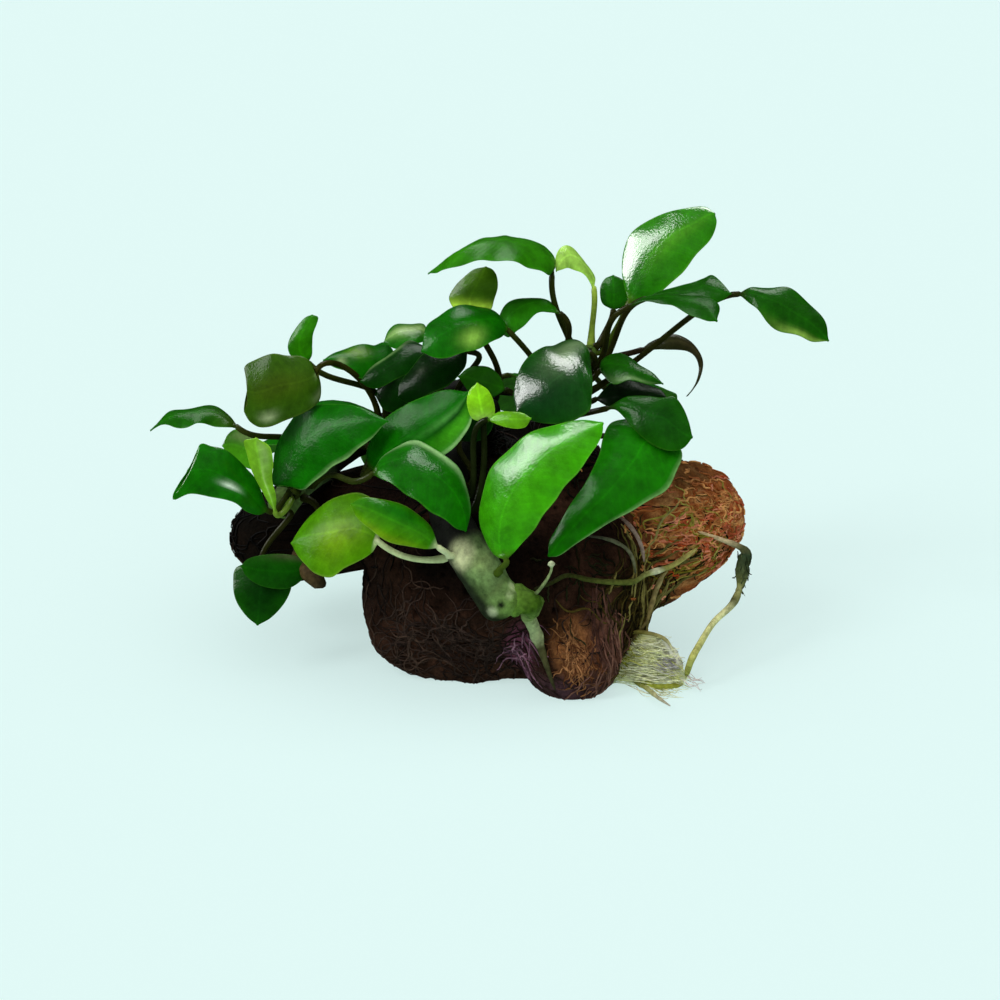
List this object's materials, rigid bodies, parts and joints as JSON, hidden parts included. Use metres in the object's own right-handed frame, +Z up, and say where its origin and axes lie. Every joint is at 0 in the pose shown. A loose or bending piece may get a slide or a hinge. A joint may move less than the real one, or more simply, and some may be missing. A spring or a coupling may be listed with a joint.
{
  "type": "anubias on stone",
  "caption": "Water plant with broad glossy leaves on creeping rhizomes, grown over a rough dark lava stone, with pale roots down its side.",
  "frame": {"origin": "on the ground under the middle of the object's box", "axes": "+X to the right of the picture's view, along the longest way of the plant; +Y to the back; +Z up"},
  "size_m": [0.1647, 0.112, 0.1113],
  "materials": {
    "stone": "matte",
    "rhizome": "satin",
    "root": "satin",
    "leaf_deep": "gloss",
    "leaf_mid": "gloss",
    "leaf_bright": "gloss",
    "leaf_lime": "gloss",
    "leaf_yellow": "gloss",
    "leaf_olive": "gloss",
    "leaf_bronze": "gloss"
  },
  "bodies": {
    "root": {"stone": "stone", "rhizome_front": "rhizome", "rhizome_left": "rhizome", "rhizome_right": "rhizome", "leaf_upright": "leaf_bright", "leaf_small_dark": "leaf_deep", "leaf_right_high": "leaf_deep", "leaf_right_mid": "leaf_deep", "leaf_far_right": "leaf_deep", "leaf_curled": "leaf_bronze", "leaf_arched_high": "leaf_mid", "leaf_young_high": "leaf_lime", "leaf_arched_low": "leaf_deep", "leaf_middle_broad": "leaf_mid", "leaf_middle_up": "leaf_olive", "leaf_small_back": "leaf_mid", "leaf_back_left": "leaf_mid", "leaf_middle_vein": "leaf_deep", "leaf_middle_low": "leaf_deep", "leaf_left_up": "leaf_mid", "leaf_olive": "leaf_olive", "leaf_far_left": "leaf_mid", "leaf_left_square": "leaf_mid", "leaf_young_left": "leaf_lime", "leaf_left_big": "leaf_mid", "leaf_striped": "leaf_mid", "leaf_middle_arched": "leaf_mid", "leaf_young_centre": "leaf_lime", "leaf_young_centre_low": "leaf_lime", "leaf_centre_high": "leaf_deep", "leaf_front_big": "leaf_bright", "leaf_front_right": "leaf_mid", "leaf_front_yellow": "leaf_yellow", "leaf_front_left": "leaf_yellow", "leaf_left_down": "leaf_deep", "leaf_left_low": "leaf_deep", "leaf_right_top": "leaf_deep", "leaf_right_ribbed": "leaf_deep", "leaf_dark_centre": "leaf_deep", "leaf_dark_middle": "leaf_deep", "leaf_dark_left": "leaf_deep", "leaf_rear_left": "leaf_mid", "leaf_rear_arched": "leaf_mid", "leaf_rear_middle": "leaf_deep", "leaf_rear_big": "leaf_mid", "leaf_rear_right": "leaf_mid", "leaf_dark_right": "leaf_deep", "leaf_rear_high": "leaf_mid", "leaf_rear_hanging": "leaf_deep", "leaf_rear_drooping": "leaf_mid", "leaf_dark_back": "leaf_deep", "root_front": "root", "root_right": "root", "root_right_low": "root", "root_hanging": "root", "root_ground": "root", "root_tip": "root", "root_drop": "root", "root_side": "root"}
  },
  "joints": []
}
